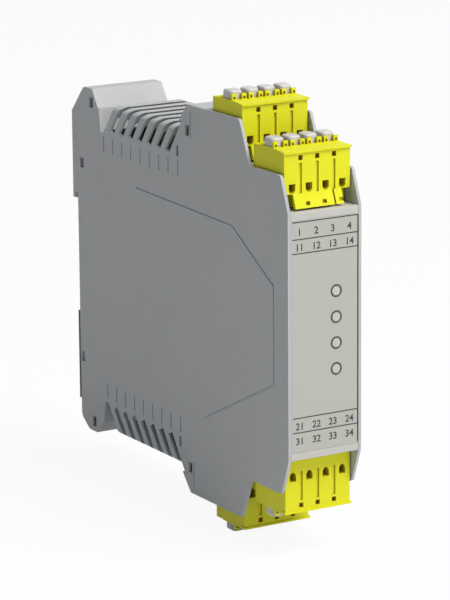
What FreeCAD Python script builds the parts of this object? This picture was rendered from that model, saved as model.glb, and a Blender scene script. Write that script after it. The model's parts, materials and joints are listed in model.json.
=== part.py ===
"""Safety relay module, 22.5 mm wide, for a 35 mm top-hat rail.

Frame: origin at the centre of the rail seat, X across the module, +Y to the rear
(towards the rail's wall), +Z up. Every piece is drawn in module coordinates, which
have their origin in the middle of the front face: x across, y rearwards, z up. A
placement then moves the pieces to the rail seat.
"""
import FreeCAD, Part
import math
import os
import Sketcher

# Driving sizes in millimetres and degrees
SIZES = (
    ("module_width", 22.5),       # over both side walls
    ("front_depth", 111.8),       # front face to rail seat
    ("hook_reach", 2.7),          # hook and latch behind the rail seat
    ("mid_drop", 0.9),            # module's mid-height below the rail's centre line
    ("side_wall", 0.9),           # side cover and right-hand wall
    ("shell_wall", 1.5),          # top, bottom and rear walls
    ("bay_wall", 1.2),            # floors and backs of the plug bays
    ("seam", 0.05),               # fit of the cap and the label in their seats
    ("cap_lip", 0.1),             # front face above the bays' floors
    ("cap_plate", 1.8),           # cap's front plate
    ("cap_flange", 7.0),          # how far the cap's flanges reach rearwards
    ("label_drop", 2.0),          # label's edge inside the front face's edge
    ("label_sheet", 0.3),
    ("label_rim", 0.25),          # cap's edge beside the label
    ("front_slope", 3.5),         # rearward run of the sloping edge beside the cap
    ("tier_one_half", 42.2),
    ("tier_one_end", 18.6),
    ("tier_two_start", 23.5),
    ("tier_two_half", 53.7),
    ("tier_two_end", 50.2),
    ("waist_start", 57.5),
    ("waist_half", 45.4),
    ("crown_rise", 1.8),          # ribs' tops above the waist
    ("crown_round", 1.6),
    ("cover_rise", 1.2),          # and of the side cover's ribs
    ("waist_seat", 12.6),         # waist's rear end before the rail seat
    ("lobe_half", 50.3),
    ("lobe_seat", 9.3),           # lobe's front corner before the rail seat
    ("lobe_back", 4.4),           # lobe's rear corner before the rail seat
    ("lobe_shoulder", 42.6),      # where the upper lobe's bevel meets the rear face
    ("foot_half", 49.2),          # lower lobe
    ("foot_corner", 46.0),
    ("outline_round", 1.2),
    ("lobe_round", 2.4),
    ("slot_pitch", 5.1),
    ("slot_width", 2.0),
    ("slot_lean", 4.6),           # how far a slot's outer end lies nearer the front
    ("slot_drop", 6.5),           # slots' inner ends below the waist
    ("slot_seat", 14.0),          # inner end of the rearmost slot before the rail seat
    ("slot_spread", 1.5),         # how much that slot widens to its mouth
    ("short_slot", 2.9),
    ("tick_length", 4.2),         # shallow marks inward of the slots
    ("tick_width", 0.6),
    ("mark_depth", 0.25),         # all shallow marks on the side walls
    ("tick_gap", 1.2),
    ("window_width", 2.0),
    ("window_height", 2.8),
    ("window_lobe_seat", 8.6),    # windows before the rail seat
    ("window_rear_seat", 2.6),
    ("window_shift", 1.1),        # and how much nearer to it the lower ones are
    ("window_lobe_drop", 4.0),    # below the lobe's top
    ("window_rear_z", 28.3),
    ("window_tier_back", 0.1),    # behind the tier's rear corner
    ("window_tier_drop", 7.1),    # below the tier's top
    ("step_back", 2.0),           # upright groove before the tier's rear corner
    ("step_low", 9.1),            # its ends below the tier's top
    ("step_high", 1.7),
    ("groove_width", 0.45),
    ("panel_front", 6.8),         # panel line on the side walls
    ("panel_low", -13.8),
    ("panel_high", 13.0),
    ("panel_bend_y", 27.5),
    ("panel_bend_z", 25.2),
    ("panel_seat", 33.8),         # its end before the rail seat
    ("panel_rear_z", 26.6),
    ("panel_toe_y", 41.0),
    ("panel_toe_z", -30.2),
    ("hook_lip", 1.5),
    ("hook_tip", 17.6),
    ("hook_root", 19.2),
    ("tier_back", 20.3),          # rear tier's plugs behind the front tier's
    ("tier_rise", 9.4),          # and further from mid-height
    ("pole_pitch", 5.08),
    ("pole_count", 4),
    ("plug_width", 20.0),
    ("plug_front", 3.6),
    ("plug_floor", 32.9),
    ("plug_clearance", 0.3),      # plug above its bay's floor
    ("plug_depth", 14.7),
    ("plug_lip", 15.1),           # heights above the plug's floor
    ("plug_ledge", 15.2),
    ("lip_depth", 1.7),
    ("comb_top", 15.35),
    ("comb_front", 6.0),          # top's rise behind the front face
    ("comb_depth", 5.4),
    ("coding_height", 4.0),
    ("coding_recess", 3.0),
    ("flap_reach", 1.4),
    ("flap_sheet", 1.1),
    ("flap_left", -7.4),
    ("flap_right", 4.5),
    ("tongue_right", 7.3),
    ("flap_gap", 0.5),
    ("socket_low", 1.2),
    ("socket_high", 6.5),
    ("socket_reach", 5.8),
    ("rib_groove", 0.9),
    ("groove_depth", 0.5),
    ("notch_size", 1.3),
    ("notch_depth", 1.4),
    ("notch_height", 13.25),
    ("keyhole_width", 1.95),
    ("keyhole_low", 4.85),
    ("keyhole_high", 6.6),
    ("keyhole_round", 0.78),
    ("chamber_width", 3.6),       # spring chamber of one pole
    ("chamber_front", 3.9),
    ("chamber_rear", 13.9),
    ("chamber_low", 1.6),
    ("chamber_high", 11.3),
    ("funnel_width", 3.8),        # wire funnel of one pole
    ("funnel_front", 11.3),
    ("funnel_depth", 2.6),
    ("pin_bore", 1.6),
    ("pad_width", 3.9),
    ("pad_depth", 4.6),
    ("pad_proud", 2.35),           # pad's top above the comb
    ("pad_round", 1.2),
    ("pad_dome", 0.8),
    ("pad_travel", 1.0),
    ("slide_clearance", 0.12),    # round every sliding pad
    ("spring_sheet", 0.4),        # clamp spring's strip
    ("spring_width", 3.0),
    ("header_gap", 0.7),          # plug's rear face to header
    ("header_depth", 9.0),
    ("header_wall", 1.1),
    ("header_back", 2.0),
    ("header_side", 0.15),        # header to side walls
    ("pin_size", 0.6),
    ("pin_width", 0.8),
    ("pin_reach", 5.6),           # pin's length in front of the header's back
    ("pin_lead", 0.2),            # bay's back wall to the first pin's bend
    ("tail_step", 0.8),
    ("board_sheet", 1.6),
    ("board_gap", 0.6),           # side cover to main board
    ("board_edge", 0.25),         # boards' edges inside the walls
    ("board_seat", 7.8),          # board's rear end before the rail seat
    ("board_drop", 2.9),          # board below the slots' inner ends
    ("board_tab", 2.95),          # board beside the rear tier's pins, behind the bay
    ("post_radius", 2.0),
    ("post_front", 36.0),
    ("post_seat", 14.8),
    ("post_half", 30.0),
    ("indicator_sheet", 1.0),
    ("indicator_half", 17.0),
    ("indicator_gap", 1.1),       # cap's plate to indicator board
    ("led_size", 1.6),
    ("led_height", 0.6),
    ("lamp_x", 3.46),
    ("lamp_top", 11.0),
    ("lamp_pitch", 6.9),
    ("lamp_radius", 1.15),
    ("lamp_hole", 1.4),
    ("lamp_flange", 1.8),
    ("lamp_flange_sheet", 0.4),
    ("relay_gap", 2.4),
    ("relay_length", 29.0),
    ("relay_height", 14.6),
    ("relay_round", 0.8),
    ("relay_front", 52.0),
    ("relay_count", 3),
    ("capacitor_radius", 4.0),
    ("capacitor_height", 11.0),
    ("capacitor_y", 38.0),
    ("capacitor_pitch", 10.0),
    ("chip_length", 9.0),
    ("chip_width", 6.0),
    ("chip_sheet", 1.5),
    ("chip_y", 16.0),
    ("chip_pitch", 11.0),
    ("latch_clearance", 0.2),
    ("latch_side", 0.9),          # latch edge inside the module's side faces
    ("latch_tip", 15.6),
    ("latch_root", 17.2),
    ("latch_end", 41.5),
    ("latch_travel", 3.0),
    ("latch_lip", 1.5),
    ("stem_width", 5.2),
    ("stem_top", 25.0),
    ("stem_bottom", 33.0),
    ("stem_head", 1.6),
    ("stem_head_width", 9.0),
    ("pry_slot", 1.4),
    ("pry_width", 6.0),
    ("coil_radius", 1.9),
    ("coil_wire", 0.3),
    ("coil_turns", 6),
    ("coil_seat", 43.6),          # depth below mid-height of the spring's lower seat
)

SIDE_NAMES = ("front_upper", "rear_upper", "front_lower", "rear_lower")


class Size:
    """A length that knows its number and the sheet expression it comes from."""

    def __init__(self, value, text):
        self.value = float(value)
        self.text = text

    @staticmethod
    def of(other):
        if isinstance(other, Size):
            return other
        return Size(other, repr(float(other)))

    def __add__(self, other):
        other = Size.of(other)
        return Size(self.value + other.value, f"({self.text} + {other.text})")

    def __sub__(self, other):
        other = Size.of(other)
        return Size(self.value - other.value, f"({self.text} - {other.text})")

    def __mul__(self, other):
        other = Size.of(other)
        return Size(self.value * other.value, f"({self.text} * {other.text})")

    def __truediv__(self, other):
        other = Size.of(other)
        return Size(self.value / other.value, f"({self.text} / {other.text})")

    def __radd__(self, other):
        return Size.of(other) + self

    def __rsub__(self, other):
        return Size.of(other) - self

    def __rmul__(self, other):
        return Size.of(other) * self

    def __neg__(self):
        return Size(-self.value, f"(0 - {self.text})")

    def whole(self):
        return Size(math.floor(self.value), f"floor({self.text})")


class Sheet:
    """The driving sizes as attributes, each tied to its cell."""

    def __init__(self, document, sizes):
        self.cells = document.addObject("Spreadsheet::Sheet", "Sizes")
        for row, (alias, value) in enumerate(sizes, start=1):
            self.cells.set(f"A{row}", alias)
            self.cells.set(f"B{row}", str(value))
            self.cells.setAlias(f"B{row}", alias)
            setattr(self, alias, Size(value, f"Sizes.{alias}"))


doc = FreeCAD.newDocument("relay_module")
s = Sheet(doc, SIZES)
doc.recompute()
parts = []

# Values that several pieces share
HALF = s.module_width / 2
INNER = HALF - s.side_wall
COVER_INNER = -INNER
ZERO = Size(0, "0")
BEYOND = s.module_width                       # a cut's run past the outline
HOOK_REAR = s.front_depth + s.hook_reach
BAY_FLOOR = s.plug_floor - s.plug_clearance
CAP_HALF = BAY_FLOOR + s.cap_lip
LABEL_HALF = CAP_HALF - s.label_drop
WAIST_END = s.front_depth - s.waist_seat
LOBE_START = s.front_depth - s.lobe_seat
LOBE_END = s.front_depth - s.lobe_back
SLOT_INNER = s.waist_half - s.slot_drop
SLOT_LAST = s.front_depth - s.slot_seat
SLOT_COUNT = ((WAIST_END - s.waist_start) / s.slot_pitch).whole()
CROWN_TOP = s.waist_half + s.crown_rise
RELAY_PITCH = (s.front_depth - s.post_seat - s.relay_front) / s.relay_count
BAY_BACK = s.plug_front + s.plug_depth + s.header_gap + s.header_depth
BOARD_LEFT = COVER_INNER + s.board_gap
BOARD_RIGHT = BOARD_LEFT + s.board_sheet
PAD_TOP = s.plug_floor + s.comb_top + s.pad_proud
PAD_BOTTOM = s.plug_floor + s.chamber_high + s.pad_travel
COIL_MIDDLE = s.front_depth - s.shell_wall - s.latch_clearance - s.stem_head \
    - s.coil_radius - s.coil_wire * 2
PIN_MIDDLE = s.plug_floor + (s.socket_low + s.socket_high) / 2
POLES = tuple((index - (s.pole_count.value - 1) / 2) for index in range(int(s.pole_count.value)))


def bind(thing, name, size):
    """Set a property and tie it to the sheet."""
    thing.setExpression(name, Size.of(size).text)


def place(thing, base=(0, 0, 0), turned=False):
    """Put a piece at a base in module coordinates, moved to the rail seat's frame."""
    if turned:
        thing.Placement.Rotation = FreeCAD.Rotation(FreeCAD.Vector(0, 1, 0), 180)
    bind(thing, "Placement.Base.x", base[0])
    bind(thing, "Placement.Base.y", Size.of(base[1]) - s.front_depth)
    bind(thing, "Placement.Base.z", Size.of(base[2]) - s.mid_drop)


def keep(thing, label):
    """Name a finished sub-part and list it for writing."""
    thing.Label = label
    parts.append(thing)
    return thing


def new_body(label, base=(0, 0, 0), turned=False):
    body = doc.addObject("PartDesign::Body", label)
    place(body, base, turned)
    return keep(body, label)


def new_sketch(body, name, plane, start):
    """A sketch on one of the body's own origin planes, moved by start along its axis."""
    sketch = body.newObject("Sketcher::SketchObject", name)
    support = [item for item in body.Origin.OriginFeatures if item.Role == plane][0]
    sketch.AttachmentSupport = (support, [""])
    sketch.MapMode = "FlatFace"
    offset = -Size.of(start) if plane == "XZ_Plane" else Size.of(start)
    bind(sketch, "AttachmentOffset.Base.z", offset)
    return sketch


def pin_point(sketch, edge, end, across, up):
    """Tie one point of a sketch edge to the sheet, from the sketch's origin."""
    for kind, size in (("DistanceX", Size.of(across)), ("DistanceY", Size.of(up))):
        index = sketch.addConstraint(Sketcher.Constraint(kind, -1, 1, edge, end, size.value))
        sketch.setExpression(f"Constraints[{index}]", size.text)


def draw_loop(sketch, corners):
    """A closed polygon whose corners are each tied to the sheet."""
    spots = [FreeCAD.Vector(Size.of(a).value, Size.of(b).value, 0) for a, b in corners]
    count = len(spots)
    first = sketch.GeometryCount
    for index in range(count):
        sketch.addGeometry(Part.LineSegment(spots[index], spots[(index + 1) % count]), False)
    for index in range(count):
        following = first + (index + 1) % count
        sketch.addConstraint(Sketcher.Constraint("Coincident", first + index, 2, following, 1))
    for index, (across, up) in enumerate(corners):
        pin_point(sketch, first + index, 1, across, up)


def draw_circle(sketch, across, up, radius):
    centre = FreeCAD.Vector(Size.of(across).value, Size.of(up).value, 0)
    edge = sketch.addGeometry(Part.Circle(centre, FreeCAD.Vector(0, 0, 1), radius.value), False)
    pin_point(sketch, edge, 3, across, up)
    index = sketch.addConstraint(Sketcher.Constraint("Radius", edge, radius.value))
    sketch.setExpression(f"Constraints[{index}]", radius.text)


def rectangle(low_across, high_across, low_up, high_up):
    return ((low_across, low_up), (high_across, low_up),
            (high_across, high_up), (low_across, high_up))


def solid_of(body):
    doc.recompute()
    return body.Shape.Volume


def pad(body, name, plane, start, length, loops=(), circles=()):
    """Add material from start, by length, along the plane's positive axis."""
    sketch = new_sketch(body, name + "_outline", plane, start)
    for corners in loops:
        draw_loop(sketch, corners)
    for circle in circles:
        draw_circle(sketch, *circle)
    feature = body.newObject("PartDesign::Pad", name)
    feature.Profile = sketch
    feature.Reversed = plane == "XZ_Plane"
    bind(feature, "Length", length)
    body.Tip = feature
    return feature


def pocket(body, name, plane, start, length, loops=(), circles=()):
    """Remove material from start, by length, along the plane's positive axis."""
    before = solid_of(body)
    sketch = new_sketch(body, name + "_outline", plane, start)
    for corners in loops:
        draw_loop(sketch, corners)
    for circle in circles:
        draw_circle(sketch, *circle)
    feature = body.newObject("PartDesign::Pocket", name)
    feature.Profile = sketch
    feature.Reversed = plane != "XZ_Plane"
    bind(feature, "Length", length)
    body.Tip = feature
    if solid_of(body) >= before:
        raise RuntimeError(f"{body.Label}: {name} removes nothing")
    return feature


def repeat(body, name, features, axis, length, count):
    """A linear pattern of features along one of the body's own axes, length overall."""
    pattern = body.newObject("PartDesign::LinearPattern", name)
    pattern.Originals = features
    axis_name = axis.strip("-") + "_Axis"
    support = [item for item in body.Origin.OriginFeatures if item.Role == axis_name][0]
    pattern.Direction = (support, [""])
    pattern.Reversed = axis.startswith("-")
    bind(pattern, "Length", length)
    bind(pattern, "Occurrences", count)
    body.Tip = pattern
    doc.recompute()
    return pattern


def edge_numbers(body, test):
    doc.recompute()
    edges = body.Shape.Edges
    inverse = body.Placement.inverse()
    names = []
    for number, edge in enumerate(edges, start=1):
        ends = [inverse.multVec(vertex.Point) for vertex in edge.Vertexes]
        if len(ends) == 2 and test(ends[0], ends[1]):
            names.append(f"Edge{number}")
    return names


def round_edges(body, name, radius, test, kind="Fillet"):
    """Fillet or chamfer the edges that pass the test, which reads both end points."""
    names = edge_numbers(body, test)
    if not names:
        raise RuntimeError(f"{body.Label}: {name} finds no edge")
    rounded = body.Tip
    feature = body.newObject(f"PartDesign::{kind}", name)
    feature.Base = (rounded, names)
    bind(feature, "Radius" if kind == "Fillet" else "Size", radius)
    body.Tip = feature
    doc.recompute()
    return feature


def across_at(corners):
    """Edges along X whose side view lies on one of the corners."""
    spots = [(Size.of(a).value, Size.of(b).value) for a, b in corners]

    def test(first, last):
        if abs(first.y - last.y) > 0.01 or abs(first.z - last.z) > 0.01:
            return False
        return any(math.hypot(first.y - y, first.z - z) < 0.01 for y, z in spots)
    return test


def upper_front_chain():
    """The side outline from the front face to the waist, on the upper half."""
    return [
        (ZERO, CAP_HALF),
        (s.front_slope, s.tier_one_half),
        (s.tier_one_end, s.tier_one_half),
        (s.tier_two_start, s.tier_two_half),
        (s.tier_two_end, s.tier_two_half),
        (s.waist_start, s.waist_half),
        (WAIST_END, s.waist_half),
    ]


def hook_chain():
    """The upper lobe and the rail hook, from the waist to the seat."""
    return [
        (LOBE_START, s.lobe_half),
        (LOBE_END, s.lobe_half),
        (HOOK_REAR, s.lobe_shoulder),
        (HOOK_REAR, s.hook_tip),
        (HOOK_REAR - s.hook_lip, s.hook_tip),
        (HOOK_REAR - s.hook_lip, s.hook_root),
        (s.front_depth, s.hook_root),
    ]


def foot_chain():
    """The lower lobe, from the seat to the waist."""
    return [
        (s.front_depth, -s.foot_corner),
        (LOBE_END, -s.foot_half),
        (LOBE_START, -s.foot_half),
    ]


def mirrored(chain):
    return [(y, -z) for y, z in reversed(chain)]


def side_outline():
    chain = upper_front_chain()
    return chain + hook_chain() + foot_chain() + mirrored(chain)


def rounded_corners():
    tiers = upper_front_chain()[1:5]
    return tiers + mirrored(tiers) + [hook_chain()[0], foot_chain()[2]]


def lobe_corners():
    return [hook_chain()[1]] + foot_chain()[:2]


def slot_loop(inner_y, sign):
    """One leaning ventilation slot, open at the outline."""
    lean_per_mm = s.slot_lean / (s.waist_half - SLOT_INNER)
    outer = CROWN_TOP + s.shell_wall
    shift = lean_per_mm * (outer - SLOT_INNER)
    loop = [
        (inner_y, SLOT_INNER),
        (inner_y + s.slot_width, SLOT_INNER + s.slot_width / 2),
        (inner_y + s.slot_width - shift, outer),
        (inner_y - shift, outer),
    ]
    return [(y, z * sign) for y, z in loop]


def last_slot_loop(sign):
    """The rearmost slot, which widens to the lobe's front wall."""
    loop = slot_loop(SLOT_LAST - s.slot_width, sign)
    outer = loop[2][1]
    return [loop[0], (SLOT_LAST, loop[0][1]), (SLOT_LAST + s.slot_spread, outer), loop[3]]


def tick_loop(inner_y, sign):
    high = SLOT_INNER - s.tick_gap
    low = high - s.tick_length
    loop = rectangle(inner_y, inner_y + s.tick_width, low, high)
    return [(y, z * sign) for y, z in loop]


def window_loops():
    spots = (
        (s.front_depth - s.window_lobe_seat, s.lobe_half - s.window_lobe_drop, s.window_shift),
        (s.front_depth - s.window_rear_seat, s.window_rear_z, s.window_shift),
        (s.tier_two_end + s.window_tier_back, s.tier_two_half - s.window_tier_drop, ZERO),
    )
    loops = []
    for upper_y, z, shift in spots:
        for sign, y in ((1, upper_y), (-1, upper_y + shift)):
            loops.append(rectangle(y - s.window_width / 2, y + s.window_width / 2,
                                   z * sign - s.window_height / 2, z * sign + s.window_height / 2))
    return loops


def step_loops():
    loops = []
    y = s.tier_two_end - s.step_back
    for sign in (1, -1):
        loops.append(rectangle(y, y + s.groove_width, (s.tier_two_half - s.step_low) * sign,
                               (s.tier_two_half - s.step_high) * sign))
    return loops


def panel_loop():
    """The panel line: a band that runs up the front and back along both bends."""
    w = s.groove_width
    rear = s.front_depth - s.panel_seat
    return [
        (s.panel_front, s.panel_low),
        (s.panel_toe_y, s.panel_toe_z),
        (s.panel_toe_y, s.panel_toe_z + w),
        (s.panel_front + w, s.panel_low + w),
        (s.panel_front + w, s.panel_high - w),
        (s.panel_bend_y, s.panel_bend_z - w),
        (rear, s.panel_rear_z - w),
        (rear, s.panel_rear_z),
        (s.panel_bend_y, s.panel_bend_z),
        (s.panel_front, s.panel_high),
    ]


def cut_slots(body, start, length):
    """Rows of leaning slots at the top and the bottom, with a short one before each row."""
    first = SLOT_LAST - s.slot_width
    second = first - s.slot_pitch
    cut = pocket(body, "slot", "YZ_Plane", start, length,
                 [slot_loop(second, sign) for sign in (1, -1)])
    repeat(body, "slots", [cut], "-Y", s.slot_pitch * (SLOT_COUNT - 2), SLOT_COUNT - 1)
    short_y = first - s.slot_pitch * SLOT_COUNT
    ends = [rectangle(short_y, short_y + s.slot_width * 0.6,
                      SLOT_INNER * sign, (SLOT_INNER + s.short_slot) * sign)
            for sign in (1, -1)]
    ends += [last_slot_loop(sign) for sign in (1, -1)]
    pocket(body, "end_slots", "YZ_Plane", start, length, ends)


def mark_side(body, start):
    """Shallow marks on a side wall: ticks, the panel line and upright grooves."""
    first = SLOT_LAST - s.slot_width
    tick = pocket(body, "tick", "YZ_Plane", start, s.mark_depth,
                  [tick_loop(first, sign) for sign in (1, -1)])
    repeat(body, "ticks", [tick], "-Y", s.slot_pitch * SLOT_COUNT, SLOT_COUNT + 1)
    pocket(body, "lines", "YZ_Plane", start, s.mark_depth, [panel_loop()] + step_loops())


def crown(body, section):
    """The waist's raised top, which the slots part into ribs: a section swept along it."""
    start = s.waist_start - s.crown_rise
    pad(body, "crown", "XZ_Plane", start, SLOT_LAST - start,
        [[(x, z * sign) for x, z in section] for sign in (1, -1)])


def side_cover():
    """Left-hand side wall with its board posts."""
    body = new_body("side_cover")
    pad(body, "wall", "YZ_Plane", -HALF, s.side_wall, [side_outline()])
    round_edges(body, "tier_rounds", s.outline_round, across_at(rounded_corners()))
    round_edges(body, "lobe_rounds", s.lobe_round, across_at(lobe_corners()))
    base = s.waist_half - s.shell_wall / 2
    crown(body, [
        (-HALF, base), (COVER_INNER, base), (COVER_INNER, s.waist_half + s.cover_rise),
        (s.side_wall * 0.4 - HALF, s.waist_half + s.cover_rise * 0.7),
        (-HALF, s.waist_half + s.cover_rise * 0.15),
    ])
    posts = []
    for y in (s.post_front, s.front_depth - s.post_seat):
        for sign in (1, -1):
            posts.append((y, s.post_half * sign, s.post_radius))
    pad(body, "board_posts", "YZ_Plane", COVER_INNER, s.board_gap, circles=posts)
    mark_side(body, -HALF)
    pocket(body, "snap_windows", "YZ_Plane", -HALF, s.side_wall, window_loops())
    cut_slots(body, -HALF, s.side_wall)
    return body


def housing_shell():
    """Right-hand wall, louvred top and bottom, rear wall, rail hook and plug bays."""
    body = new_body("housing_shell")
    pad(body, "block", "YZ_Plane", COVER_INNER, INNER + HALF, [side_outline()])
    round_edges(body, "tier_rounds", s.outline_round, across_at(rounded_corners()))
    round_edges(body, "lobe_rounds", s.lobe_round, across_at(lobe_corners()))
    base = s.waist_half - s.shell_wall / 2
    crown(body, [
        (COVER_INNER, base), (HALF, base), (HALF, CROWN_TOP - s.crown_round),
        (HALF - s.crown_round * 0.3, CROWN_TOP - s.crown_round * 0.3),
        (HALF - s.crown_round, CROWN_TOP), (COVER_INNER + s.crown_round, CROWN_TOP),
        (COVER_INNER, s.waist_half + s.cover_rise),
    ])
    inner_width = INNER * 2
    floor = BAY_FLOOR
    rear_floor = BAY_FLOOR + s.tier_rise
    rear_back = BAY_BACK + s.tier_back
    roof = s.tier_two_half - s.shell_wall
    floor_front = s.tier_one_end + s.header_gap
    roof_front = s.plug_front + s.plug_depth + s.tier_back + s.header_gap / 2
    for sign, side in ((1, "upper"), (-1, "lower")):
        bay = [
            (-BEYOND, floor), (BAY_BACK, floor), (BAY_BACK, rear_floor - s.bay_wall),
            (floor_front, rear_floor - s.bay_wall), (floor_front, rear_floor),
            (rear_back, rear_floor), (rear_back, roof), (roof_front, roof),
            (roof_front, rear_floor + BEYOND * 2), (-BEYOND, rear_floor + BEYOND * 2),
        ]
        pocket(body, f"bay_{side}", "YZ_Plane", COVER_INNER, inner_width,
               [[(y, z * sign) for y, z in bay]])
    chamber_end = rear_back + s.bay_wall
    low_chain = [
        (-BEYOND, floor - s.bay_wall), (BAY_BACK + s.bay_wall, floor - s.bay_wall),
        (BAY_BACK + s.bay_wall, rear_floor - s.bay_wall),
        (chamber_end, rear_floor - s.bay_wall),
        (chamber_end, s.tier_two_half - s.shell_wall),
        (s.waist_start - s.shell_wall, s.waist_half - s.shell_wall),
        (SLOT_LAST, s.waist_half - s.shell_wall), (SLOT_LAST, SLOT_INNER),
        (SLOT_LAST + s.shell_wall, SLOT_INNER),
    ]
    upper_lobe = [
        (LOBE_START + s.shell_wall / 2, s.lobe_half - s.shell_wall),
        (LOBE_END - s.shell_wall / 2, s.lobe_half - s.shell_wall),
        (s.front_depth - s.shell_wall, s.lobe_shoulder),
    ]
    lower_lobe = [
        (s.front_depth - s.shell_wall, -s.lobe_shoulder),
        (LOBE_END - s.shell_wall / 2, s.shell_wall - s.foot_half),
        (LOBE_START + s.shell_wall / 2, s.shell_wall - s.foot_half),
    ]
    chamber = low_chain + upper_lobe + lower_lobe + mirrored(low_chain)
    pocket(body, "chamber", "YZ_Plane", COVER_INNER, inner_width, [chamber])
    pocket(body, "cap_seat", "YZ_Plane", COVER_INNER, inner_width,
           [rectangle(-BEYOND, s.cap_flange + s.seam, -s.tier_one_half, s.tier_one_half)])
    pin_run = s.pole_pitch * (s.pole_count - 1) / 2 + s.pin_size
    for back, rise, side in ((ZERO, ZERO, "front"), (s.tier_back, s.tier_rise, "rear")):
        middle = PIN_MIDDLE + rise
        pocket(body, f"pin_window_{side}", "XZ_Plane", BAY_BACK + back, s.bay_wall,
               [rectangle(-pin_run, pin_run, middle * sign - s.pin_width,
                          middle * sign + s.pin_width) for sign in (1, -1)])
    seat = s.coil_radius + s.coil_wire * 2
    pad(body, "spring_seat", "YZ_Plane", -seat, seat * 2,
        [rectangle(COIL_MIDDLE - seat, s.front_depth - s.shell_wall / 2,
                   -s.coil_seat - s.shell_wall, -s.coil_seat)])
    half_stem = s.stem_width / 2 + s.latch_clearance
    pocket(body, "latch_window", "XZ_Plane", s.front_depth - s.shell_wall, s.shell_wall,
           [rectangle(-half_stem, half_stem,
                      -(s.stem_bottom + s.latch_travel + s.latch_clearance),
                      s.latch_clearance - s.stem_top)])
    mark_side(body, HALF - s.mark_depth)
    cut_slots(body, COVER_INNER, INNER + HALF)
    return body


def front_cap():
    """Front face between the side walls, with flanges that close the plug bays' floors."""
    body = new_body("front_cap")
    half = INNER - s.seam
    low_edge = -CAP_HALF
    profile = [
        (ZERO, low_edge), (ZERO, CAP_HALF), (s.cap_plate, CAP_HALF),
        (s.cap_plate, BAY_FLOOR), (s.cap_flange, BAY_FLOOR),
        (s.cap_flange, BAY_FLOOR - s.bay_wall), (s.cap_plate, BAY_FLOOR - s.bay_wall),
        (s.cap_plate, s.bay_wall - BAY_FLOOR), (s.cap_flange, s.bay_wall - BAY_FLOOR),
        (s.cap_flange, -BAY_FLOOR), (s.cap_plate, -BAY_FLOOR), (s.cap_plate, low_edge),
    ]
    pad(body, "cap", "YZ_Plane", -half, half * 2, [profile])
    label = half - s.label_rim
    pocket(body, "label_seat", "XZ_Plane", ZERO, s.label_sheet,
           [rectangle(-label, label, -LABEL_HALF, LABEL_HALF)])
    holes = [(s.lamp_x, s.lamp_top - s.lamp_pitch * row, s.lamp_radius + s.seam)
             for row in range(4)]
    pocket(body, "lamp_holes", "XZ_Plane", ZERO, s.cap_plate, circles=holes)
    posts = [(s.lamp_x * sign, s.indicator_half * side * 0.9, s.post_radius / 2)
             for sign in (1, -1) for side in (1, -1)]
    pad(body, "board_posts", "XZ_Plane", s.cap_plate, s.indicator_gap, circles=posts)
    return body


def label_plate():
    body = new_body("label_plate")
    half = INNER - s.seam * 2 - s.label_rim
    high = LABEL_HALF - s.seam
    holes = [(s.lamp_x, s.lamp_top - s.lamp_pitch * row, s.lamp_hole) for row in range(4)]
    pad(body, "sheet", "XZ_Plane", ZERO, s.label_sheet, [rectangle(-half, half, -high, high)],
        holes)
    return body


def light_pipe(number):
    """Clear pipe from the label's face to just above its lamp, with a collar behind."""
    body = new_body(f"light_pipe_{number}")
    spot = (s.lamp_x, s.lamp_top - s.lamp_pitch * (number - 1))
    pad(body, "rod", "XZ_Plane", ZERO, s.cap_plate, circles=[(*spot, s.lamp_radius)])
    pad(body, "collar", "XZ_Plane", s.cap_plate, s.lamp_flange_sheet,
        circles=[(*spot, s.lamp_flange)])
    return body


def tier_base(side):
    """Offset and turn of one plug position from the upper front one."""
    back = s.tier_back if side.startswith("rear") else ZERO
    rise = s.tier_rise if side.startswith("rear") else ZERO
    if side.endswith("lower"):
        return (ZERO, back, -rise), True
    return (ZERO, back, rise), False


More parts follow.
